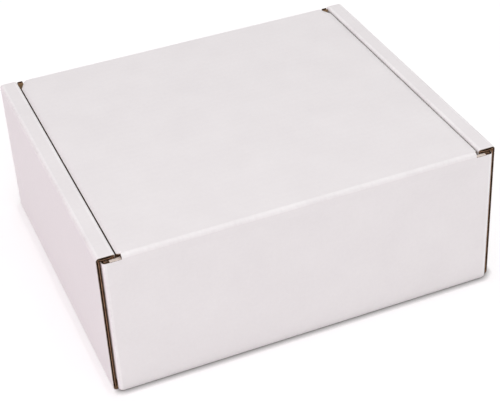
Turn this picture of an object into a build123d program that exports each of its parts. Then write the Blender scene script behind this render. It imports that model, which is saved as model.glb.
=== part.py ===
"""Roll-end corrugated mailer box with a front tuck flap, closed.

The real box is one die-cut sheet of corrugated board, folded up and held by its own tabs.
It is cut here only along the two creases that work as hinges: the lid's rear crease and its front crease.

Frame: millimetres, +X to the right, +Y to the back, +Z up. The origin is on the surface that the box
stands on, at the middle of the whole box.
"""

from build123d import *

import math
import os

# ---- Driving dimensions ---------------------------------------------------------------------------
inside_length = 254.0  # along X, between the two inner side walls
inside_depth = 229.0  # along Y, from the front wall to the back wall
inside_height = 102.0  # along Z, from the base to the lid
board = 3.0  # thickness of the board
layer_gap = 0.3  # air between two layers that lie against each other
crease_inner = 0.5  # inside radius of a fold
crease_outer = 2.4  # outside radius of a fold, tighter than the board is thick, as a crease is crushed

lid_side_gap = 0.5  # slot between the lid and the ledge beside it
lid_rear_cut_x = 5.5  # the lid's rear corners are cut off at a slant
lid_rear_cut_y = 11.0
lid_front_cut_x = 2.5  # and so are its front corners, at the ends of the front crease
lid_front_cut_y = 4.0
notch_post_drop = 1.0  # the back wall fills each rear notch up to this far below the ledges

corner_flap_length = 70.0  # from the wall's outer face to the flap's free end
corner_flap_taper = 12.0  # how far the free end is drawn in, top and bottom
corner_flap_relief = 1.5  # above the base, so that the flap turns in freely

inner_wall_end_gap = 1.0  # between an inner wall's end and the front or back wall
tab_length = 32.0  # locking tab on the foot of an inner wall
tab_inset = 40.0  # from the inner wall's end to its tab
tab_clearance = 0.3  # all round a tab in its slot
tab_recess = 0.5  # a tab's end stays above the base's underside

ear_length = 62.0  # from the side wall's front end to the ear's free end
ear_bottom = 8.0  # height of the ear's lower edge at its root
ear_top_slope = 14.0  # fall of the ear's upper edge over its length
ear_swing_gap = 1.0  # between the swinging ear and the base
free_corner_radius = 6.0  # rounding of a tucked flap's free corners

flap_foot_gap = 0.5  # the front flap's lower edge stays above the ground
flap_corner_cut = 3.5  # slanted lower corners of the front flap

# ---- Sizes that follow ----------------------------------------------------------------------------
layer_pitch = board + layer_gap
fold_reach = board + crease_inner  # how much of each sheet a fold takes up, from the outer corner
half_board = board / 2

# Side walls, from outside: outer wall, ear, corner flap, inner wall, all under one ledge.
ledge_width = 3 * layer_pitch + board
outer_length = inside_length + 2 * ledge_width
outer_height = inside_height + 2 * board
wall_depth = inside_depth + 2 * board
overall_depth = wall_depth + layer_pitch

# Middle planes of the sheets that stand across X.
outer_wall_x = outer_length / 2 - half_board
ear_x = outer_wall_x - layer_pitch
corner_flap_x = ear_x - layer_pitch
inner_wall_x = corner_flap_x - layer_pitch

# Faces and middle planes of the sheets that stand across Y.
flap_face = -overall_depth / 2
flap_y = flap_face + half_board
front_face = flap_face + layer_pitch
front_wall_y = front_face + half_board
back_face = overall_depth / 2
back_wall_y = back_face - half_board
middle_y = (front_face + back_face) / 2

# Levels.
base_z = half_board
top_z = outer_height - half_board
roll_end = outer_height - fold_reach - layer_gap
tucked_top = roll_end - layer_gap
under_lid = outer_height - board - layer_gap
inner_wall_foot = board + layer_gap

lid_half = inside_length / 2 - lid_side_gap
rear_crease_half = lid_half - lid_rear_cut_x
front_crease_half = lid_half - lid_front_cut_x
fold_start_x = corner_flap_x + half_board - fold_reach

# The front flap turns about the middle of the board at the lid's front crease.
hinge_y = flap_y
hinge_z = top_z
ear_swing_radius = hinge_z - board - ear_swing_gap


# ---- Sheet making ---------------------------------------------------------------------------------
def block(x_range, y_range, z_range):
    """A rectangular block between two values on each axis."""
    size = [high - low for low, high in (x_range, y_range, z_range)]
    middle = [(high + low) / 2 for low, high in (x_range, y_range, z_range)]
    return Pos(*middle) * Box(*size)


def beside(points, distance):
    """A line of right-angled turns, moved sideways: to its right by a distance, or to its left by a negative one."""
    corners = [Vector(*point) for point in points]
    courses = [(end - start).normalized() for start, end in zip(corners, corners[1:])]
    rights = [Vector(course.Y, -course.X) * distance for course in courses]
    turns = [before + after for before, after in zip(rights, rights[1:])]
    return [corner + shift for corner, shift in zip(corners, [rights[0], *turns, rights[-1]])]


def folded_section(points):
    """The board's section along a line through the middle of its thickness.

    The line turns left at each fold, so the board's outside is on its right.
    """
    outside = beside(points, half_board)
    inside = beside(points, -half_board)
    outer_face = FilletPolyline(*outside, radius=crease_outer)
    inner_face = FilletPolyline(*inside, radius=crease_inner)
    ends = [Line(outside[0], inside[0]), Line(outside[-1], inside[-1])]
    return make_face(outer_face.edges() + inner_face.edges() + ends)


def both_sides(shape):
    """A shape on the right with its mirror image on the left."""
    return shape + mirror(shape, about=Plane.YZ)


def tucked_outline(root, tip, bottom, top, fall_top, rise_bottom):
    """A flap's outline in the YZ plane, from its root to its drawn-in, rounded free end."""
    corners = [(root, bottom), (tip, bottom + rise_bottom), (tip, top - fall_top), (root, top)]
    outline = make_face(Polyline(*corners, close=True))
    free_end = [v for v in outline.vertices() if abs(v.X - tip) < abs(v.X - root)]
    return fillet(free_end, free_corner_radius)


# ---- Tray -----------------------------------------------------------------------------------------
def side_roll():
    """Base, outer side walls and ledges, bent from one strip that runs from front to back."""
    right = [
        (outer_wall_x, base_z),
        (outer_wall_x, top_z),
        (inner_wall_x, top_z),
        (inner_wall_x, roll_end),
    ]
    left = [(-x, z) for x, z in reversed(right)]
    strip = extrude(Plane.XZ.offset(-back_face) * folded_section(left + right), wall_depth)
    flat_half = outer_length / 2 - fold_reach
    for face, inward in ((front_face, fold_reach), (back_face, -fold_reach)):
        edge = sorted((face, face + inward))
        strip -= block((-flat_half, flat_half), edge, (0, inner_wall_foot))
    return strip


def lid_half_width(y):
    """Half the lid's width near its rear edge, where its corners slant in."""
    share = (y - (back_face - lid_rear_cut_y)) / lid_rear_cut_y
    return lid_half - lid_rear_cut_x * share


def front_and_back():
    """Front wall, base and back wall, bent from one strip that runs across the side walls' strip.

    The back wall rises in the notches between the lid's slanted rear corners and the ledges.
    """
    points = [
        (front_wall_y, tucked_top),
        (front_wall_y, base_z),
        (back_wall_y, base_z),
        (back_wall_y, tucked_top),
    ]
    strip = extrude(Plane.YZ * folded_section(points), fold_start_x, both=True)
    front_edge = (front_face, front_face + board)
    back_edge = (back_face - board, back_face)
    strip += block((-lid_half, lid_half), front_edge, (tucked_top, under_lid))
    strip += block((-rear_crease_half, rear_crease_half), back_edge, (tucked_top, roll_end))
    notch = (lid_half_width(back_face - board) + layer_gap, inside_length / 2 - layer_gap)
    post = block(notch, back_edge, (tucked_top, outer_height - notch_post_drop))
    return strip + both_sides(post)


def corner_flaps():
    """The flaps at both ends of the front wall, turned back between the outer and the inner side walls."""
    tip = front_face + corner_flap_length
    bottom = board + corner_flap_relief
    points = [
        (-corner_flap_x, tip),
        (-corner_flap_x, front_wall_y),
        (corner_flap_x, front_wall_y),
        (corner_flap_x, tip),
    ]
    sheet = extrude(Plane.XY.offset(bottom) * folded_section(points), tucked_top - bottom)
    outline = tucked_outline(
        front_face, tip, bottom, tucked_top, corner_flap_taper, corner_flap_taper
    )
    return sheet & extrude(Plane.YZ * outline, outer_length / 2, both=True)


def tab_places():
    """The middle of each locking tab along Y."""
    reach = inside_depth / 2 - inner_wall_end_gap - tab_inset - tab_length / 2
    return middle_y - reach, middle_y + reach


def inner_walls():
    """The inner side walls below the ledges, each with two tabs on its foot."""
    across = (inner_wall_x - half_board, inner_wall_x + half_board)
    reach = inside_depth / 2 - inner_wall_end_gap
    wall = block(across, (middle_y - reach, middle_y + reach), (inner_wall_foot, roll_end))
    for place in tab_places():
        along = (place - tab_length / 2, place + tab_length / 2)
        wall += block(across, along, (tab_recess, inner_wall_foot))
    return both_sides(wall)


def tab_slots():
    """The slots in the base that the locking tabs drop into."""
    reach_x = half_board + tab_clearance
    reach_y = tab_length / 2 + tab_clearance
    slots = [
        block(
            (inner_wall_x - reach_x, inner_wall_x + reach_x),
            (place - reach_y, place + reach_y),
            (-board, 2 * board),
        )
        for place in tab_places()
    ]
    return both_sides(slots[0] + slots[1])


def make_tray():
    front_flaps = corner_flaps()
    back_flaps = mirror(front_flaps, about=Plane.XZ.offset(-middle_y))
    folded = side_roll() + front_and_back() - tab_slots()
    return folded + front_flaps + back_flaps + inner_walls()


# ---- Lid ------------------------------------------------------------------------------------------
def slanted_cut(narrow_half, edge_y, full_y):
    """What is cut from both of the lid's corners at one end: the lid has its full width at full_y."""
    beyond_y = edge_y + math.copysign(board, edge_y - full_y)
    corners = [
        (narrow_half, edge_y),
        (lid_half, full_y),
        (lid_half + board, full_y),
        (lid_half + board, beyond_y),
        (narrow_half, beyond_y),
    ]
    return both_sides(extrude(make_face(Polyline(*corners, close=True)), outer_height))


def make_lid():
    """The top panel, with the rear crease that stands on the back wall."""
    lid_front = hinge_y + half_board + layer_gap
    points = [(back_wall_y, roll_end), (back_wall_y, top_z), (lid_front, top_z)]
    panel = extrude(Plane.YZ * folded_section(points), lid_half, both=True)
    panel -= slanted_cut(rear_crease_half, back_face, back_face - lid_rear_cut_y)
    return panel - slanted_cut(front_crease_half, lid_front, lid_front + lid_front_cut_y)


# ---- Front flap -----------------------------------------------------------------------------------
def ears_and_panel():
    """The front panel with its two ears, as one bent strip, with the ears cut to their outline."""
    tip = front_face + ear_length
    points = [(-ear_x, tip), (-ear_x, flap_y), (ear_x, flap_y), (ear_x, tip)]
    height = under_lid - flap_foot_gap
    sheet = extrude(Plane.XY.offset(flap_foot_gap) * folded_section(points), height)
    root = flap_face + board
    outline = tucked_outline(root, tip, ear_bottom, under_lid, ear_top_slope, 0)
    swing = Plane.YZ * Pos(hinge_y, hinge_z) * Circle(ear_swing_radius)
    ears = extrude(Plane.YZ * outline, outer_length / 2, both=True)
    ears &= extrude(swing, outer_length / 2, both=True)
    panel = block((-ear_x - board, ear_x + board), (flap_face, root), (0, outer_height))
    return sheet & (ears + panel)


def hinge_edge():
    """The panel's upper edge at the lid's front crease, round about the hinge line."""
    half_width = front_crease_half
    neck = block((-half_width, half_width), (flap_face, flap_face + board), (under_lid, hinge_z))
    rounding = Plane.YZ * Pos(hinge_y, hinge_z) * Circle(half_board)
    return neck + extrude(rounding, half_width, both=True)


def make_front_flap():
    corner = (ear_x + half_board, flap_foot_gap)
    triangle = [
        (corner[0] - flap_corner_cut, corner[1]),
        (corner[0], corner[1] + flap_corner_cut),
        (corner[0] + board, corner[1] + flap_corner_cut),
        (corner[0] + board, corner[1] - board),
        (corner[0] - flap_corner_cut, corner[1] - board),
    ]
    face = Plane.XZ.offset(-front_face) * make_face(Polyline(*triangle, close=True))
    return ears_and_panel() + hinge_edge() - both_sides(extrude(face, 2 * layer_pitch))


os.makedirs("parts", exist_ok=True)
export_step(make_tray(), "parts/tray.step")
export_step(make_lid(), "parts/lid.step")
export_step(make_front_flap(), "parts/front_flap.step")
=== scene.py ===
"""The looks of the closed corrugated mailer box.

The box is built as real corrugated board: a white outer liner, a fluted core and a kraft inner liner, folded
along the creases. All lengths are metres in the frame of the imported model.
"""

import math

import bmesh
import bpy
import numpy as np
from mathutils import Matrix, Vector


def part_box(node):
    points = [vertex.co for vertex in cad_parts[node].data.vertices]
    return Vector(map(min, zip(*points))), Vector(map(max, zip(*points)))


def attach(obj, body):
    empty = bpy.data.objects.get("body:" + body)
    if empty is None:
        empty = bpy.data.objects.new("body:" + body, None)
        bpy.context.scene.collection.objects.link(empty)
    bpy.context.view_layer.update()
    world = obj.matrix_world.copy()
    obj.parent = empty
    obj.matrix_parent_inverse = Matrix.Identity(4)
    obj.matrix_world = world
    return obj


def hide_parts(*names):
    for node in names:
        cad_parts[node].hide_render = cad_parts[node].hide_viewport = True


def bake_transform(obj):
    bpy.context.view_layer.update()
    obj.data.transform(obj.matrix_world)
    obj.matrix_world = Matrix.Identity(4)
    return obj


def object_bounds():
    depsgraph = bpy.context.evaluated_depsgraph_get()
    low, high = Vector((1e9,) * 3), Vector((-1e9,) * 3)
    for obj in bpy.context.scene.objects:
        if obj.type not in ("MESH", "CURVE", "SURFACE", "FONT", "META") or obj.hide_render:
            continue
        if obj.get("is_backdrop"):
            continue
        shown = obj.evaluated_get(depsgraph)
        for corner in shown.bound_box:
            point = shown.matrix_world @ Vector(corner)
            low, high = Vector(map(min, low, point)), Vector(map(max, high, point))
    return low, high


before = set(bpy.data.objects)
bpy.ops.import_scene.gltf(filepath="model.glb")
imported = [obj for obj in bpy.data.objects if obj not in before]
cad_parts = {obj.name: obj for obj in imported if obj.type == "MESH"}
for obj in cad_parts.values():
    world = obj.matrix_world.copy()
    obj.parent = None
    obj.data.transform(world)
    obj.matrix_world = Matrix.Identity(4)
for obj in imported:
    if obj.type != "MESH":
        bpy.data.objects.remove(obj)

cad_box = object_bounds()

# ---- The board ------------------------------------------------------------------------------------
MM = 0.001
BOARD = 3.0 * MM  # thickness
HALF = BOARD / 2
LAYER_GAP = 0.3 * MM  # air between two layers that lie against each other
LAYER_PITCH = BOARD + LAYER_GAP
LINER = 0.32 * MM  # thickness of a liner
FLUTING = 0.4 * MM  # thickness of the wavy core, with its loose fibres
GLUE_OVERLAP = 0.03 * MM  # how far the core's crests sink into the liners
FLUTE_PITCH = 6.4 * MM
FLUTE_STEPS = 10  # steps of the core in one flute

CREASE_OUTER = 2.4 * MM  # outside radius of a fold
TIGHT_OUTER = 1.7 * MM  # and of the ledges' inner folds, which are pressed flat
CREASE_INNER = 0.12 * MM  # inside radius, where the board is crushed
CRUSH_RUN = 1.6 * MM  # how far the crushing runs out on both sides of a fold
FOLD_REACH = BOARD + 0.5 * MM  # what a fold takes up of each sheet, from its outer corner
BEND_STEPS = 10  # steps round one fold
CRUSH_STEPS = 4  # steps in one crushed or curled run
EDGE_RUN = 2.8 * MM  # how far from a cut the liners start to curl towards the core
LID_EDGE_DROP = 1.25 * MM  # how far the outer liner has curled down at the lid's long cut edges
WALL_EDGE_DROP = 0.25 * MM  # and at the cuts of the side walls and of the front flap's foot
WALL_EDGE_LIFT = 0.5 * MM  # how far the inner liner has curled up at the side walls' front edges
SHARP_ANGLE = math.radians(38)  # faces that meet at more than this are shaded as an edge

# Lengths below which two places count as one.
SAME_PLACE = 1e-9
SAME_STATION = 1e-6
SAME_VERTEX = 1e-8
NO_WIDTH = 1e-7

# ---- Where the sheets lie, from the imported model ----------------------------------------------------
TRAY_LOW, TRAY_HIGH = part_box("tray")
LID_LOW, LID_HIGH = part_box("lid")
FLAP_LOW, FLAP_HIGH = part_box("front_flap")

HALF_LENGTH = TRAY_HIGH[0]
TOP = TRAY_HIGH[2]
FRONT_FACE = TRAY_LOW[1]
BACK_FACE = TRAY_HIGH[1]
LID_HALF = LID_HIGH[0]
LID_FRONT = LID_LOW[1]
ROLL_END = LID_LOW[2]  # where the lid's rear crease stands on the back wall
FLAP_FACE = FLAP_LOW[1]
FLAP_FOOT = FLAP_LOW[2]
EAR_TIP = FLAP_HIGH[1]

# Middle planes of the sheets.
OUTER_WALL_X = HALF_LENGTH - HALF
EAR_X = OUTER_WALL_X - LAYER_PITCH
CORNER_FLAP_X = EAR_X - LAYER_PITCH
INNER_WALL_X = CORNER_FLAP_X - LAYER_PITCH
FRONT_WALL_Y = FRONT_FACE + HALF
BACK_WALL_Y = BACK_FACE - HALF
MIDDLE_Y = (FRONT_FACE + BACK_FACE) / 2
FLAP_Y = FLAP_FACE + HALF
BASE_Z = HALF
TOP_Z = TOP - HALF

# Edges of the sheets.
TUCKED_TOP = ROLL_END - LAYER_GAP  # top of what stands under the ledges
UNDER_LID = TOP - BOARD - LAYER_GAP  # top of what stands under the lid
WALL_FOOT = BOARD + LAYER_GAP  # foot of the inner side walls, on the base
FOLD_START_X = CORNER_FLAP_X + HALF - FOLD_REACH  # where the corner flaps start to fold off
BASE_HALF = HALF_LENGTH - FOLD_REACH  # where the side walls start to fold up
INNER_FACE_X = INNER_WALL_X - HALF
INNER_WALL_GAP = 1.0 * MM  # from the inner side walls' ends to the front and back walls
INNER_WALL_LOW = FRONT_FACE + BOARD + INNER_WALL_GAP
INNER_WALL_HIGH = BACK_FACE - BOARD - INNER_WALL_GAP

LID_REAR_CUT_X = 5.5 * MM  # the lid's corners, cut off on the slant
LID_REAR_CUT_Y = 11.0 * MM
LID_FRONT_CUT_X = 2.5 * MM
LID_FRONT_CUT_Y = 1.3 * MM
REAR_CUT_STEPS = 5
LID_TRIM = 0.4 * MM  # how far the lid's worn long edges stand back from the model's
LID_EDGE = LID_HALF - LID_TRIM
REAR_CREASE_HALF = LID_HALF - LID_REAR_CUT_X
FRONT_CREASE_HALF = LID_HALF - LID_FRONT_CUT_X
POST_TOP = TOP - 1.0 * MM  # the back wall's posts in the lid's rear notches

CORNER_FLAP_LENGTH = 70.0 * MM
CORNER_FLAP_TAPER = 12.0 * MM  # how much of each long edge's height the slant takes
CORNER_FLAP_RELIEF = 1.5 * MM  # air under a corner flap
CORNER_FLAP_STEPS = 12  # steps in one taper
FREE_CORNER = 6.0 * MM  # rounding of a tucked flap's free corners
TAB_LENGTH = 32.0 * MM
TAB_INSET = 40.0 * MM  # from the inner side walls' ends to the tabs
TAB_CLEARANCE = 0.3 * MM  # round a tab in its slot
TAB_RECESS = 0.5 * MM  # how far the tabs stop short of the base's underside
EAR_BOTTOM = 8.0 * MM
EAR_UNDERCUT = 0.01 * MM  # within how much height the ear's lower edge begins
EAR_TOP_SLOPE = 14.0 * MM  # how far the ear's upper edge falls on its way to the tip
EAR_STEPS = 60  # stations up an ear
EAR_SWING = TOP_Z - BOARD - 1.0 * MM  # the ear's lower edge is an arc about the hinge line
FLAP_CORNER_CUT = 3.5 * MM  # radius of the front flap's lower corners
FLAP_CORNER_STEPS = 8
FRAYED_LENGTH = 7.5 * MM  # how much of a shoulder's cut has burst open, beside the lid's crease
FRAYED_DEPTH = 1.2 * MM  # and how deep
FRAYED_START = 0.3 * MM  # within how much of the cut the bursting begins and ends

CREASE_REACH = 7.0 * MM  # how far the crease piece runs into the lid, and down into the front flap
CREASE_FOOT = TOP_Z - CREASE_REACH


# ---- Materials ------------------------------------------------------------------------------------
def new_material(name):
    material = bpy.data.materials.new(name)
    material.use_nodes = True
    tree = material.node_tree
    tree.nodes.clear()
    output = tree.nodes.new("ShaderNodeOutputMaterial")
    shader = tree.nodes.new("ShaderNodeBsdfPrincipled")
    tree.links.new(shader.outputs["BSDF"], output.inputs["Surface"])
    return material, tree, shader


def add(tree, kind, **settings):
    """A node with its properties and its unlinked inputs set by name."""
    node = tree.nodes.new(kind)
    for key, value in settings.items():
        if hasattr(node, key):
            setattr(node, key, value)
        else:
            node.inputs[key.replace("_", " ")].default_value = value
    return node


def noise(tree, vector, scale, detail=3.0, roughness=0.55):
    node = add(tree, "ShaderNodeTexNoise", Scale=scale, Detail=detail, Roughness=roughness)
    tree.links.new(vector, node.inputs["Vector"])
    return node.outputs["Fac"]


def remap(tree, value, low, high, to_low, to_high):
    """The value, clamped to low and high, and stretched to run from to_low to to_high."""
    node = tree.nodes.new("ShaderNodeMapRange")
    for socket, number in zip(("From Min", "From Max", "To Min", "To Max"), (low, high, to_low, to_high)):
        node.inputs[socket].default_value = number
    tree.links.new(value, node.inputs["Value"])
    return node.outputs["Result"]


def math_node(tree, operation, first, second):
    node = tree.nodes.new("ShaderNodeMath")
    node.operation = operation
    for socket, value in zip(node.inputs, (first, second)):
        if isinstance(value, (int, float)):
            socket.default_value = value
        else:
            tree.links.new(value, socket)
    return node.outputs[0]


def weighted(tree, share, first, second):
    """The mean of two values in which the first has the given share."""
    first_part = math_node(tree, "MULTIPLY", first, share)
    second_part = math_node(tree, "MULTIPLY", second, 1 - share)
    return math_node(tree, "ADD", first_part, second_part)


def mix_colour(tree, factor, first, second):
    node = tree.nodes.new("ShaderNodeMix")
    node.data_type = "RGBA"
    tree.links.new(factor, node.inputs["Factor"])
    for socket, value in ((node.inputs[6], first), (node.inputs[7], second)):
        if isinstance(value, tuple):
            socket.default_value = (*value, 1.0)
        else:
            tree.links.new(value, socket)
    return node.outputs[2]


def stretched(tree, coordinates, scale):
    node = add(tree, "ShaderNodeMapping")
    node.inputs["Scale"].default_value = scale
    tree.links.new(coordinates, node.inputs["Vector"])
    return node.outputs["Vector"]


def bump(tree, height, distance, strength=1.0, under=None):
    node = add(tree, "ShaderNodeBump", Distance=distance, Strength=strength)
    tree.links.new(height, node.inputs["Height"])
    if under is not None:
        tree.links.new(under, node.inputs["Normal"])
    return node.outputs["Normal"]


def sheet_coordinates(tree):
    """The place on the flat sheet, in metres: first across the flutes, then along them."""
    return add(tree, "ShaderNodeUVMap", uv_map="sheet").outputs["UV"]


def flute_lines(tree, coordinates):
    """The faint ribs where the liner is glued to the crests of the core, 0 to 1."""
    across = tree.nodes.new("ShaderNodeSeparateXYZ")
    tree.links.new(coordinates, across.inputs["Vector"])
    phase = math_node(tree, "MULTIPLY", across.outputs["X"], math.tau / FLUTE_PITCH)
    wave = math_node(tree, "SINE", phase, 0.0)
    return remap(tree, wave, -1.0, 1.0, 0.0, 1.0)


def white_liner():
    """Clay-coated white paper: satin, faintly cloudy and paler in the folds, partly from crease wear and
    partly as a painted highlight along the creases; the flutes just show through.
    """
    material, tree, shader = new_material("white_liner")
    sheet = sheet_coordinates(tree)
    clouds = noise(tree, sheet, 28.0, 4.0)
    mottle = noise(tree, sheet, 420.0, 2.0)
    fibres = noise(tree, stretched(tree, sheet, (1400.0, 320.0, 1.0)), 1.0, 3.0)
    tone = weighted(tree, 0.65, clouds, mottle)
    cloudiness = remap(tree, tone, 0.3, 0.7, 0.0, 1.0)
    base = mix_colour(tree, cloudiness, (0.785, 0.752, 0.760), (0.825, 0.795, 0.801))
    # Paler colour in the folds: partly crease wear, partly a painted highlight along the creases.
    crease_attribute = tree.nodes.new("ShaderNodeAttribute")
    crease_attribute.attribute_name = "crease"
    folded = remap(tree, crease_attribute.outputs["Fac"], 0.38, 0.48, 0.0, 1.0)
    crease_wear_and_highlight = math_node(tree, "MULTIPLY", folded, remap(tree, tone, 0.35, 0.65, 0.1, 0.7))
    colour = mix_colour(tree, crease_wear_and_highlight, base, (0.92, 0.90, 0.90))
    tree.links.new(colour, shader.inputs["Base Color"])
    gloss = remap(tree, math_node(tree, "ADD", clouds, fibres), 0.7, 1.3, 0.36, 0.5)
    tree.links.new(gloss, shader.inputs["Roughness"])
    shader.inputs["Specular IOR Level"].default_value = 0.45
    ribs = bump(tree, flute_lines(tree, sheet), 0.035 * MM)
    paper = bump(tree, fibres, 0.03 * MM, under=ribs)
    swell = bump(tree, clouds, 0.5 * MM, 0.6, under=paper)
    tree.links.new(swell, shader.inputs["Normal"])
    return material


def kraft_liner():
    """Unbleached brown paper with long fibres and flecks."""
    material, tree, shader = new_material("kraft_liner")
    sheet = sheet_coordinates(tree)
    clouds = noise(tree, sheet, 40.0, 4.0)
    fibres = noise(tree, stretched(tree, sheet, (1500.0, 260.0, 1.0)), 1.0, 5.0, 0.65)
    flecks = noise(tree, stretched(tree, sheet, (900.0, 420.0, 1.0)), 1.0, 1.0)
    tone = weighted(tree, 0.4, clouds, fibres)
    cloudiness = remap(tree, tone, 0.3, 0.7, 0.0, 1.0)
    base = mix_colour(tree, cloudiness, (0.30, 0.175, 0.085), (0.47, 0.31, 0.175))
    ribs = flute_lines(tree, sheet)
    ribbed = mix_colour(tree, math_node(tree, "MULTIPLY", ribs, 0.12), base, (0.24, 0.14, 0.07))
    colour = mix_colour(tree, remap(tree, flecks, 0.68, 0.76, 0.0, 0.6), ribbed, (0.60, 0.45, 0.28))
    tree.links.new(colour, shader.inputs["Base Color"])
    tree.links.new(remap(tree, fibres, 0.3, 0.7, 0.78, 0.92), shader.inputs["Roughness"])
    shader.inputs["Specular IOR Level"].default_value = 0.25
    ribbing = bump(tree, ribs, 0.06 * MM)
    paper = bump(tree, fibres, 0.06 * MM, under=ribbing)
    tree.links.new(paper, shader.inputs["Normal"])
    return material


def core_paper_and_painted_shade():
    """The dark recycled paper of the fluted core, partly its own colour and partly painted shade of the
    hollows inside the board.
    """
    material, tree, shader = new_material("core_paper_and_painted_shade")
    sheet = sheet_coordinates(tree)
    fibres = noise(tree, stretched(tree, sheet, (1300.0, 380.0, 1.0)), 1.0, 4.0, 0.6)
    fibrous = remap(tree, fibres, 0.3, 0.7, 0.0, 1.0)
    colour = mix_colour(tree, fibrous, (0.04, 0.021, 0.012), (0.10, 0.056, 0.033))
    tree.links.new(colour, shader.inputs["Base Color"])
    tree.links.new(remap(tree, fibres, 0.3, 0.7, 0.85, 0.95), shader.inputs["Roughness"])
    shader.inputs["Specular IOR Level"].default_value = 0.06
    tree.links.new(bump(tree, fibres, 0.06 * MM), shader.inputs["Normal"])
    return material


def torn_paper(name, dark, pale):
    """Paper where it was cut: furry, and patchy from pale to dark."""
    material, tree, shader = new_material(name)
    place = add(tree, "ShaderNodeTexCoord").outputs["Object"]
    fur = noise(tree, place, 1600.0, 4.0, 0.7)
    patches = noise(tree, place, 260.0, 2.0)
    patchiness = remap(tree, weighted(tree, 0.5, fur, patches), 0.35, 0.65, 0.0, 1.0)
    colour = mix_colour(tree, patchiness, dark, pale)
    tree.links.new(colour, shader.inputs["Base Color"])
    tree.links.new(remap(tree, patches, 0.3, 0.7, 0.82, 0.95), shader.inputs["Roughness"])
    shader.inputs["Specular IOR Level"].default_value = 0.08
    tree.links.new(bump(tree, fur, 0.12 * MM), shader.inputs["Normal"])
    return material


WHITE, KRAFT, CORE, WHITE_CUT, KRAFT_CUT_PAINTED_DARK, CORE_CUT, FRAYED = range(7)
BOARD_MATERIALS = [
    white_liner(),
    kraft_liner(),
    core_paper_and_painted_shade(),
    torn_paper("white_liner_edge", (0.28, 0.20, 0.15), (0.52, 0.44, 0.38)),
    # The kraft cut edges are near black: partly the cut paper's own brown, mostly painted shade of the
    # board's open ends.
    torn_paper("kraft_edge_and_painted_shade", (0.026, 0.012, 0.006), (0.11, 0.054, 0.028)),
    torn_paper("core_edge", (0.165, 0.085, 0.048), (0.47, 0.285, 0.18)),
    torn_paper("frayed_edge", (0.58, 0.47, 0.40), (0.88, 0.80, 0.74)),  # where the core has burst out
]


# ---- Folded board ---------------------------------------------------------------------------------
class Fold:
    """A line through the middle of the board: straight runs joined by round folds, in a plane (u, v).

    A place on it is its distance from the start, measured along the line. The outside of the board is on
    the right of the direction of travel, or on the left with outside=-1. The folds whose numbers are in
    tight have the small radius.
    """

    def __init__(self, corners, outside=1, tight=()):
        self.outside = outside
        self.parts = []
        self.bends = []
        points = [Vector(corner) for corner in corners]
        here, distance = points[0], 0.0
        for number, (before, corner, after) in enumerate(zip(points, points[1:], points[2:])):
            radius = (TIGHT_OUTER if number in tight else CREASE_OUTER) - HALF
            arriving = (corner - before).normalized()
            leaving = (after - corner).normalized()
            turn = arriving.angle_signed(leaving)  # positive is clockwise
            setback = radius * math.tan(abs(turn) / 2)
            bend_start = corner - arriving * setback
            run = (bend_start - here).length
            self.parts.append(("run", distance, distance + run, here, arriving))
            distance += run
            spoke = Vector((arriving.y, -arriving.x)) * -math.copysign(radius, turn)
            length = radius * abs(turn)
            self.parts.append(("bend", distance, distance + length, bend_start - spoke, spoke, -turn))
            crushed = HALF - (radius - CREASE_INNER)  # how much thinner the fold is than the board
            self.bends.append((distance, distance + length, crushed))
            distance += length
            here = corner + leaving * setback
        leaving = (points[-1] - here).normalized()
        self.end = distance + (points[-1] - here).length
        self.parts.append(("run", distance, self.end, here, leaving))

    def at(self, place):
        """The point at a place, and the direction out of the board there."""
        part = next((part for part in self.parts if place <= part[2] + SAME_PLACE), self.parts[-1])
        if part[0] == "run":
            _, begin, _, origin, along = part
            return origin + along * (place - begin), Vector((along.y, -along.x)) * self.outside
        _, begin, end, centre, spoke, turn = part
        turned = Matrix.Rotation(turn * (place - begin) / (end - begin), 2) @ spoke
        along = (Matrix.Rotation(math.copysign(math.pi / 2, turn), 2) @ turned).normalized()
        return centre + turned, Vector((along.y, -along.x)) * self.outside

    def crush(self, place):
        """How much thinner the board is at a place: most in a fold, running out on both sides of it."""
        depth = 0.0
        for begin, end, crushed in self.bends:
            share = max(0.0, 1.0 - max(begin - place, place - end, 0.0) / CRUSH_RUN)
            depth = max(depth, crushed * share * share * (3 - 2 * share))
        return depth

    def stops(self):
        """Places where the board needs a station: its ends, and steps round and beside each fold."""
        found = [0.0, self.end]
        for begin, end, _ in self.bends:
            found += list(np.linspace(begin, end, BEND_STEPS + 1))
            for step in range(1, CRUSH_STEPS + 1):
                beside = CRUSH_RUN * step / CRUSH_STEPS
                found += [begin - beside, end + beside]
        return [place for place in found if 0.0 <= place <= self.end]


def merged(*groups):
    """Sorted stations without near repeats."""
    values = sorted(value for group in groups for value in group)
    kept = values[:1]
    for value in values[1:]:
        if value - kept[-1] > SAME_STATION:
            kept.append(value)
    return kept


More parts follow.
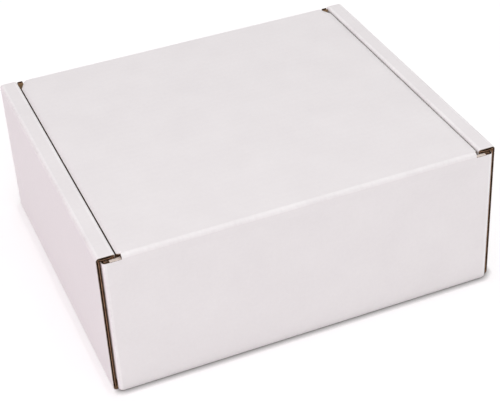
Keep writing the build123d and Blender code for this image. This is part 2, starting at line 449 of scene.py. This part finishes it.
def slab(stations_a, stations_b, place, sides, present, limits):
    """A closed sheet between two surfaces.

    place(a, b, h) gives a point, the two functions in sides give h at (a, b), low side first, present(a, b)
    tells whether the cell round (a, b) exists, and limits(a) are the lowest and highest b there. Returns
    the vertices, each as (point, a, b), and the faces, each as (vertex numbers, "low", "high" or "rim").
    """
    count_a, count_b = len(stations_a), len(stations_b)
    grid = np.empty((count_a, count_b, 2))
    for i, a in enumerate(stations_a):
        low, high = limits(a)
        for j, b in enumerate(stations_b):
            grid[i, j] = a, min(max(b, low), high)
    there = np.zeros((count_a + 1, count_b + 1), bool)
    for i in range(count_a - 1):
        for j in range(count_b - 1):
            corners = grid[i : i + 2, j : j + 2]
            size = np.ptp(corners[:, :, 1], axis=1).max()
            there[i + 1, j + 1] = size > NO_WIDTH and present(*corners.mean(axis=(0, 1)))
    vertices, numbers, faces = [], {}, []

    def vertex(i, j, side):
        a, b = grid[i, j]
        key = (i, round(b / SAME_VERTEX), side)
        if key not in numbers:
            numbers[key] = len(vertices)
            vertices.append((place(a, b, sides[side](a, b)), a, b))
        return numbers[key]

    def face(corners, kind):
        ids = [vertex(*corner) for corner in corners]
        unique = [v for n, v in enumerate(ids) if v != ids[n - 1]]
        if len(unique) > 2:
            faces.append((unique, kind))

    for i, j in np.argwhere(there) - 1:
        face([(i, j, 1), (i + 1, j, 1), (i + 1, j + 1, 1), (i, j + 1, 1)], "high")
        face([(i, j, 0), (i, j + 1, 0), (i + 1, j + 1, 0), (i + 1, j, 0)], "low")
        borders = (
            ((i, j + 1), (i, j), (i, j + 1)),
            ((i + 2, j + 1), (i + 1, j + 1), (i + 1, j)),
            ((i + 1, j), (i + 1, j), (i, j)),
            ((i + 1, j + 2), (i, j + 1), (i + 1, j + 1)),
        )
        for neighbour, first, second in borders:
            if not there[neighbour]:
                face([(*first, 0), (*first, 1), (*second, 1), (*second, 0)], "rim")
    return vertices, faces


def curled(from_edge, drop):
    """How far a liner has curled towards the core at a distance from a cut edge."""
    share = min(1.0, max(0.0, 1.0 - from_edge / EDGE_RUN))
    return drop * share**2


def edge_steps(edge, inward):
    """Stations beside a cut edge where a liner curls; inward is 1 or -1."""
    return [edge + inward * EDGE_RUN * step / CRUSH_STEPS for step in range(CRUSH_STEPS + 1)]


def make_board(
    name, across, along, place, crush, present=None, limits=None, shift=0.0, frayed=None, curl=None,
    lift=None,
):
    """One panel of corrugated board, folded or flat: two liners and the core, in one mesh object.

    across and along are its stations across the flutes (a) and along them (b). shift moves the flutes.
    frayed(a, b) tells how far, from 0 to 1, pale fibres have burst out of the core and fill it. curl(a, b)
    and lift(a, b) tell how far the outer and the inner liner have curled towards the core.
    """
    present = present or (lambda a, b: True)
    frayed = frayed or (lambda a, b: 0.0)
    curl = curl or (lambda a, b: 0.0)
    lift = lift or (lambda a, b: 0.0)
    limits = limits or (lambda a: (min(along), max(along)))
    coarse_a = merged(across)
    stations_b = merged(along)
    step = FLUTE_PITCH / FLUTE_STEPS
    fine_a = merged(coarse_a, np.arange(coarse_a[0], coarse_a[-1], step))

    def inner_face(a, b):
        return crush(a, b) + lift(a, b) - HALF

    def outer_face(a, b):
        return HALF - curl(a, b)

    def core(a, b, side):
        low, high = inner_face(a, b) + LINER, outer_face(a, b) - LINER
        swing = (high - low - FLUTING) / 2 + GLUE_OVERLAP
        wave = (low + high) / 2 + swing * math.sin(math.tau * (a + shift) / FLUTE_PITCH)
        filled = frayed(a, b)
        return (wave + side * FLUTING / 2) * (1 - filled) + (low if side < 0 else high) * filled

    outer_liner = (lambda a, b: outer_face(a, b) - LINER, outer_face)
    inner_liner = (inner_face, lambda a, b: inner_face(a, b) + LINER)
    fluting = (lambda a, b: core(a, b, -1), lambda a, b: core(a, b, 1))
    layers = (
        # The liners' faces towards the core take the dark core paper as painted shade inside the board.
        (coarse_a, outer_liner, {"low": CORE, "high": WHITE, "rim": WHITE_CUT}),
        (coarse_a, inner_liner, {"low": KRAFT, "high": CORE, "rim": KRAFT_CUT_PAINTED_DARK}),
        (fine_a, fluting, {"low": CORE, "high": CORE, "rim": CORE_CUT}),
    )
    vertices, sheet_places, faces, kinds = [], [], [], []
    for stations_a, sides, materials in layers:
        made, found = slab(stations_a, stations_b, place, sides, present, limits)
        for corners, kind in found:
            burst = frayed(*np.mean([made[n][1:] for n in corners], axis=0)) > 0
            if burst and sides is outer_liner and kind == "rim":
                kinds.append(KRAFT_CUT_PAINTED_DARK)
            elif burst and (sides is fluting or kind == "rim"):
                kinds.append(FRAYED)
            else:
                kinds.append(materials[kind])
            faces.append([n + len(vertices) for n in corners])
        vertices += [point for point, _, _ in made]
        sheet_places += [(a, b) for _, a, b in made]
    mesh = bpy.data.meshes.new(name)
    mesh.from_pydata([tuple(point) for point in vertices], [], faces)
    for material in BOARD_MATERIALS:
        mesh.materials.append(material)
    mesh.polygons.foreach_set("material_index", kinds)
    corner_vertices = np.empty(len(mesh.loops), int)
    mesh.loops.foreach_get("vertex_index", corner_vertices)
    flat = np.array(sheet_places) + (shift, 0.0)
    mesh.uv_layers.new(name="sheet").data.foreach_set("uv", flat[corner_vertices].ravel())
    marks = mesh.attributes.new("crease", "FLOAT", "POINT")
    marks.data.foreach_set("value", [crush(a, b) / HALF for a, b in sheet_places])
    outward = bmesh.new()
    outward.from_mesh(mesh)
    bmesh.ops.recalc_face_normals(outward, faces=outward.faces)
    outward.to_mesh(mesh)
    outward.free()
    mesh.shade_smooth()
    mesh.set_sharp_from_angle(angle=SHARP_ANGLE)
    piece = bpy.data.objects.new(name, mesh)
    bpy.context.collection.objects.link(piece)
    return piece


def side_view(u, v, across):
    """The YZ plane, seen from the right: u is Y and v is Z."""
    return (across, u, v)


def front_view(u, v, along):
    """The XZ plane: u is X and v is Z."""
    return (u, along, v)


def plan_view(u, v, height):
    """The XY plane: u is X and v is Y."""
    return (u, v, height)


def flutes_along_creases(name, plane, fold, along, stops=(), **options):
    """Board folded so that its creases run with the flutes: a is the place on the fold line."""

    def place(a, b, h):
        point, outward = fold.at(a)
        return plane(*(point + outward * h), b)

    across = merged(fold.stops(), stops)
    return make_board(name, across, along, place, lambda a, b: fold.crush(a), **options)


def flutes_round_creases(name, plane, fold, across, stops=(), **options):
    """Board folded so that its flutes run on round the creases: b is the place on the fold line."""

    def place(a, b, h):
        point, outward = fold.at(b)
        return plane(*(point + outward * h), a)

    along = merged(fold.stops(), stops)
    return make_board(name, across, along, place, lambda a, b: fold.crush(b), **options)


# ---- The tray's sheets ----------------------------------------------------------------------------
def both_signs(*values):
    return [sign * value for value in values for sign in (-1, 1)]


def within(value, ranges):
    return any(low < value < high for low, high in ranges)


def rounding(from_corner):
    """How far a free corner is rounded off, at a distance from it along one side."""
    inside = min(max(FREE_CORNER - from_corner, 0.0), FREE_CORNER)
    return FREE_CORNER - math.sqrt(FREE_CORNER**2 - inside**2)


def tab_ranges():
    """Where the locking tabs lie along Y."""
    reach = MIDDLE_Y - INNER_WALL_LOW - TAB_INSET - TAB_LENGTH / 2
    places = (MIDDLE_Y - reach, MIDDLE_Y + reach)
    return [(place - TAB_LENGTH / 2, place + TAB_LENGTH / 2) for place in places]


def base_and_end_walls():
    """Front wall, base and back wall in one strip, with the slots for the locking tabs."""
    corners = [
        (FRONT_WALL_Y, UNDER_LID),
        (FRONT_WALL_Y, BASE_Z),
        (BACK_WALL_Y, BASE_Z),
        (BACK_WALL_Y, POST_TOP),
    ]
    fold = Fold(corners)
    base_start, base_end = fold.bends[0][1], fold.bends[1][0]
    base_start_y = fold.at(base_start)[0].x
    front_tucked = UNDER_LID - TUCKED_TOP
    back_tucked = fold.end - (POST_TOP - TUCKED_TOP)
    roll_place = fold.end - (POST_TOP - ROLL_END)
    to_sheet = base_start - base_start_y
    slot_ranges = [
        (low - TAB_CLEARANCE + to_sheet, high + TAB_CLEARANCE + to_sheet) for low, high in tab_ranges()
    ]
    slot_x = (INNER_WALL_X - HALF - TAB_CLEARANCE, INNER_WALL_X + HALF + TAB_CLEARANCE)
    notch_share = (LID_REAR_CUT_Y - BOARD) / LID_REAR_CUT_Y
    post_x = (LID_HALF - LID_REAR_CUT_X * notch_share + LAYER_GAP, INNER_FACE_X - LAYER_GAP)

    def present(a, b):
        b = abs(b)
        if slot_x[0] < b < slot_x[1] and within(a, slot_ranges):
            return False
        if base_start < a < base_end:
            return True
        if a < front_tucked:
            return b < LID_HALF
        if a > roll_place:
            return post_x[0] < b < post_x[1]
        if a > back_tucked:
            return b < REAR_CREASE_HALF or post_x[0] < b < post_x[1]
        return b < FOLD_START_X

    along = both_signs(REAR_CREASE_HALF, LID_HALF, FOLD_START_X, BASE_HALF, *slot_x, *post_x)
    stops = [front_tucked, back_tucked, roll_place, *(a for pair in slot_ranges for a in pair)]
    return flutes_along_creases(
        "base_and_end_walls", side_view, fold, along, stops, present=present
    )


# At the side walls' front edges the core is near the inner liner, so that a deep flute shows there.
WALL_SHIFT = 0.602 * FLUTE_PITCH - FRONT_FACE


def side_wall(name, side):
    """Outer side wall, ledge and inner side wall, rolled over in one strip, with the locking tabs."""
    corners = [
        (side * BASE_HALF, BASE_Z),
        (side * OUTER_WALL_X, BASE_Z),
        (side * OUTER_WALL_X, TOP_Z),
        (side * INNER_WALL_X, TOP_Z),
        (side * INNER_WALL_X, TAB_RECESS),
    ]
    fold = Fold(corners, outside=side, tight=(2,))
    roll_place = fold.end - (ROLL_END - TAB_RECESS)
    foot_place = fold.end - (WALL_FOOT - TAB_RECESS)
    tabs = tab_ranges()

    def present(a, b):
        if b > foot_place:
            return within(a, tabs)
        if b > roll_place:
            return INNER_WALL_LOW < a < INNER_WALL_HIGH
        return True

    def curl(a, b):
        outside_roll = b < roll_place
        return curled(min(a - FRONT_FACE, BACK_FACE - a), WALL_EDGE_DROP) if outside_roll else 0.0

    def lift(a, b):
        on_wall = min(1.0, max(0.0, (fold.bends[1][0] - b) / EDGE_RUN))
        return curled(a - FRONT_FACE, WALL_EDGE_LIFT * on_wall)

    tab_ends = [a for pair in tabs for a in pair]
    across = [INNER_WALL_LOW, *tab_ends, INNER_WALL_HIGH]
    across += edge_steps(FRONT_FACE, 1) + edge_steps(BACK_FACE, -1)
    return flutes_round_creases(
        name, front_view, fold, across, (roll_place, foot_place), present=present, curl=curl, lift=lift,
        shift=WALL_SHIFT,
    )


def corner_flap(name, side, end):
    """The flap at one end of the front (end=-1) or back (end=1) wall, turned in behind the side wall."""
    wall_y = FRONT_WALL_Y if end < 0 else BACK_WALL_Y
    face = FRONT_FACE if end < 0 else BACK_FACE
    tip = face - end * CORNER_FLAP_LENGTH
    corners = [(side * FOLD_START_X, wall_y), (side * CORNER_FLAP_X, wall_y), (side * CORNER_FLAP_X, tip)]
    fold = Fold(corners, outside=side * -end)
    bottom = BOARD + CORNER_FLAP_RELIEF

    def limits(a):
        from_edge = min(a - bottom, TUCKED_TOP - a)
        slanted_off = CORNER_FLAP_LENGTH * max(0.0, 1 - from_edge / CORNER_FLAP_TAPER)
        cut = max(slanted_off, rounding(max(0.0, from_edge - CORNER_FLAP_TAPER)))
        return 0.0, max(fold.bends[0][1], fold.end - cut)

    # Steps through the taper, and on through the rounding that follows it.
    taper_step = CORNER_FLAP_TAPER / CORNER_FLAP_STEPS
    near_edge = np.arange(0, CORNER_FLAP_TAPER + FREE_CORNER + taper_step / 2, taper_step)
    across = [bottom + a for a in near_edge] + [TUCKED_TOP - a for a in near_edge]
    return flutes_round_creases(name, plan_view, fold, across, limits=limits)


# ---- The lid and the front flap -------------------------------------------------------------------
# The lid, its front crease and the flap are one sheet, so the flutes run through all three in step. At the
# top of the flap's shoulders, beside the crease, the core lies on the inner liner.
FLAP_SHIFT = -FLUTE_PITCH / 4 - UNDER_LID
CREASE_SHIFT = CREASE_FOOT + FLAP_SHIFT
CREASE_FOLD = Fold(
    [(FLAP_Y, CREASE_FOOT), (FLAP_Y, TOP_Z), (FLAP_Y + CREASE_REACH, TOP_Z)], outside=-1
)
LID_SHIFT = CREASE_SHIFT + CREASE_FOLD.end


def lid():
    """The top panel with its rear fold, from the front crease piece to the top of the back wall."""
    corners = [(FLAP_Y + CREASE_REACH, TOP_Z), (BACK_WALL_Y, TOP_Z), (BACK_WALL_Y, ROLL_END)]
    fold = Fold(corners, outside=-1)

    def limits(a):
        from_back = BACK_FACE - fold.at(a)[0].x
        share = min(1.0, from_back / LID_REAR_CUT_Y)
        half = REAR_CREASE_HALF + (LID_EDGE - REAR_CREASE_HALF) * share
        return -half, half

    def curl(a, b):
        return curled(limits(a)[1] - abs(b), LID_EDGE_DROP)

    cut_start = (BACK_FACE - LID_REAR_CUT_Y) - (FLAP_Y + CREASE_REACH)
    cut_steps = np.linspace(cut_start, fold.bends[0][0], REAR_CUT_STEPS + 1)
    sides = edge_steps(LID_EDGE, -1) + edge_steps(REAR_CREASE_HALF, -1) + [LID_EDGE - 2 * EDGE_RUN]
    return flutes_along_creases(
        "lid_panel", side_view, fold, both_signs(*sides), cut_steps, limits=limits, curl=curl,
        shift=LID_SHIFT,
    )


def front_crease():
    """The strip of board round the lid's front crease, between the lid and the front flap."""

    def limits(a):
        from_front = CREASE_FOLD.at(a)[0].x - LID_FRONT
        share = min(1.0, max(0.0, from_front / LID_FRONT_CUT_Y))
        half = FRONT_CREASE_HALF + (LID_EDGE - FRONT_CREASE_HALF) * share
        return -half, half

    def curl(a, b):
        on_lid = min(1.0, max(0.0, (a - CREASE_FOLD.bends[0][1]) / LID_FRONT_CUT_Y))
        return curled(limits(a)[1] - abs(b), LID_EDGE_DROP * on_lid)

    lid_run = CREASE_FOLD.end - (FLAP_Y + CREASE_REACH)
    stops = np.linspace(LID_FRONT + lid_run, LID_FRONT + LID_FRONT_CUT_Y + lid_run, CRUSH_STEPS + 1)
    sides = edge_steps(LID_EDGE, -1) + edge_steps(FRONT_CREASE_HALF, -1)
    return flutes_along_creases(
        "front_crease", side_view, CREASE_FOLD, both_signs(*sides), stops, limits=limits, curl=curl,
        shift=CREASE_SHIFT,
    )


def front_flap():
    """The front panel with its ears, folded back and tucked in beside the corner flaps."""
    corners = [(-EAR_X, EAR_TIP), (-EAR_X, FLAP_Y), (EAR_X, FLAP_Y), (EAR_X, EAR_TIP)]
    fold = Fold(corners)
    middle = fold.end / 2
    ear_start = fold.bends[1][1]
    to_ear = ear_start - middle - fold.at(ear_start)[0].y  # from Y on an ear to its reach
    ear_root = FLAP_FACE + BOARD
    root_reach = ear_root + to_ear
    tip_low = TOP_Z - math.sqrt(EAR_SWING**2 - (EAR_TIP - FLAP_Y) ** 2)
    tip_high = UNDER_LID - EAR_TOP_SLOPE

    def reach(height):
        """How far the sheet runs from its middle, on both sides, at a height."""
        above_foot = height - FLAP_FOOT
        if above_foot < FLAP_CORNER_CUT:
            below = FLAP_CORNER_CUT - above_foot
            return root_reach - FLAP_CORNER_CUT + math.sqrt(FLAP_CORNER_CUT**2 - below**2)
        if height < EAR_BOTTOM:
            return root_reach
        swing_y = FLAP_Y + math.sqrt(EAR_SWING**2 - (TOP_Z - height) ** 2)
        slope_y = ear_root + (UNDER_LID - height) / EAR_TOP_SLOPE * (EAR_TIP - ear_root)
        tip_y = EAR_TIP - rounding(max(0.0, min(height - tip_low, tip_high - height)))
        return max(root_reach, min(swing_y, slope_y, tip_y) + to_ear)

    def limits(a):
        return middle - reach(a), middle + reach(a)

    def present(a, b):
        return a < CREASE_FOOT or abs(b - middle) > FRONT_CREASE_HALF

    def frayed(a, b):
        from_middle = abs(b - middle)
        if from_middle < FRONT_CREASE_HALF or from_middle > FRONT_CREASE_HALF + FRAYED_LENGTH:
            return 0.0
        return min(1.0, max(0.0, 1 - (UNDER_LID - a) / FRAYED_DEPTH) * 2)

    def curl(a, b):
        return curled(a - FLAP_FOOT, WALL_EDGE_DROP)

    turns = np.linspace(0, math.pi / 2, FLAP_CORNER_STEPS + 1)
    heights = [FLAP_FOOT + FLAP_CORNER_CUT * (1 - math.cos(turn)) for turn in turns]
    heights += [*edge_steps(FLAP_FOOT, 1), EAR_BOTTOM - EAR_UNDERCUT, CREASE_FOOT]
    heights += [*np.linspace(EAR_BOTTOM, UNDER_LID, EAR_STEPS)]
    heights += [*np.linspace(UNDER_LID - FRAYED_DEPTH, UNDER_LID, CRUSH_STEPS + 1)]
    frayed_end = FRONT_CREASE_HALF + FRAYED_LENGTH
    frayed_ends = (frayed_end - FRAYED_START, frayed_end, frayed_end + FRAYED_START)
    stops = [middle + offset for offset in both_signs(FRONT_CREASE_HALF, root_reach, *frayed_ends)]
    return flutes_round_creases(
        "front_flap_board", plan_view, fold, heights, stops, present=present, limits=limits,
        shift=FLAP_SHIFT, frayed=frayed, curl=curl,
    )


tray_pieces = [base_and_end_walls()]
for side, word in ((-1, "left"), (1, "right")):
    tray_pieces.append(side_wall(f"{word}_side_wall", side))
    tray_pieces.append(corner_flap(f"front_{word}_corner_flap", side, -1))
    tray_pieces.append(corner_flap(f"back_{word}_corner_flap", side, 1))
for piece in tray_pieces:
    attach(piece, "root")
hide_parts("tray")

lid_piece = lid()
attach(lid_piece, "root")
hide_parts("lid")

flap_piece = front_flap()
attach(flap_piece, "front_flap")
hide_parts("front_flap")

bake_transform(front_crease())


# ---- Studio ---------------------------------------------------------------------------------------
def studio_floor():
    """A pale, glowing floor that is bright enough to read as white, with a painted soft shadow where the box
    meets it, darkened from ambient occlusion in its colour and glow.

    The painted shadow is faded out by position along the box's left side, which faces the fill light.
    """
    reach = 6.0
    corners = [(-reach, -reach, 0), (reach, -reach, 0), (reach, reach, 0), (-reach, reach, 0)]
    mesh = bpy.data.meshes.new("floor")
    mesh.from_pydata(corners, [], [(0, 1, 2, 3)])
    floor = bpy.data.objects.new("floor", mesh)
    bpy.context.collection.objects.link(floor)
    material, tree, shader = new_material("studio_floor")
    shadow_reach = 5.5 * MM
    shadow_end = 6.0 * MM  # how far before the box's left face the painted shadow starts to fade, by position
    contact = add(tree, "ShaderNodeAmbientOcclusion", Distance=shadow_reach)
    place = tree.nodes.new("ShaderNodeSeparateXYZ")
    tree.links.new(add(tree, "ShaderNodeTexCoord").outputs["Object"], place.inputs["Vector"])
    # Painted shadow: the floor's colour and glow darken with ambient occlusion, faded out by position on the
    # box's left side.
    painted_shadow_fade = remap(tree, place.outputs["X"], shadow_end - HALF_LENGTH, -HALF_LENGTH, 0.0, 0.9)
    deepened = math_node(tree, "POWER", contact.outputs["AO"], 2.5)
    openness = math_node(tree, "MAXIMUM", painted_shadow_fade, deepened)
    colour = mix_colour(tree, openness, (0.30, 0.29, 0.29), (0.78, 0.765, 0.77))
    tree.links.new(colour, shader.inputs["Base Color"])
    shader.inputs["Roughness"].default_value = 0.9
    shader.inputs["Emission Color"].default_value = (1.0, 1.0, 1.0, 1.0)
    tree.links.new(math_node(tree, "MULTIPLY", openness, 0.28), shader.inputs["Emission Strength"])
    mesh.materials.append(material)
    floor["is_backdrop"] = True


def soft_light(name, place, target, size, power, colour=(1.0, 1.0, 1.0)):
    data = bpy.data.lights.new(name, "AREA")
    data.shape = "DISK"
    data.size = size
    data.energy = power
    data.color = colour
    light = bpy.data.objects.new(name, data)
    bpy.context.collection.objects.link(light)
    light.location = place
    light.rotation_mode = "QUATERNION"
    light.rotation_quaternion = (Vector(target) - Vector(place)).to_track_quat("-Z", "Y")


def studio_lights():
    """A bright ceiling over a dark horizon, a soft key light from the front and a rosy fill on the left."""
    world = bpy.data.worlds.new("studio")
    bpy.context.scene.world = world
    world.use_nodes = True
    tree = world.node_tree
    direction = tree.nodes.new("ShaderNodeSeparateXYZ")
    tree.links.new(add(tree, "ShaderNodeTexCoord").outputs["Generated"], direction.inputs["Vector"])
    strength = remap(tree, direction.outputs["Z"], 0.0, 1.0, 0.02, 1.30)
    background = tree.nodes["Background"]
    background.inputs["Color"].default_value = (1.0, 1.0, 1.0, 1.0)
    tree.links.new(strength, background.inputs["Strength"])
    middle = (0.0, 0.0, 0.05)
    rosy = (1.0, 0.18, 0.57)
    soft_light("key", place=(-0.4, -1.5, 1.5), target=middle, size=0.9, power=8.4)
    soft_light("fill", place=(-2.0, -0.4, 0.65), target=middle, size=1.2, power=2.9, colour=rosy)


def studio_camera():
    """The camera at the viewing angle, with a slight roll."""
    azimuth = math.radians(-20.82)
    elevation = math.radians(35.06)
    roll = math.radians(-3.39)
    distance = 0.9878
    target = Vector((0.0027, -0.0113, 0.0403))
    level_back = Vector((math.sin(azimuth), -math.cos(azimuth), 0.0))
    back = level_back * math.cos(elevation) + Vector((0.0, 0.0, math.sin(elevation)))
    data = bpy.data.cameras.new("camera")
    data.sensor_width = 36.0
    data.lens = 98.15
    camera = bpy.data.objects.new("camera", data)
    bpy.context.collection.objects.link(camera)
    camera.location = target + back * distance
    camera.rotation_mode = "QUATERNION"
    level = (-back).to_track_quat("-Z", "Y")
    camera.rotation_quaternion = level @ Matrix.Rotation(roll, 3, "Z").to_quaternion()
    bpy.context.scene.camera = camera


studio_floor()
studio_lights()
studio_camera()
bpy.context.scene.view_settings.view_transform = "Standard"

boxes = {"cad": cad_box, "visual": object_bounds()}
{k: [list(low), list(high)] for k, (low, high) in boxes.items()}
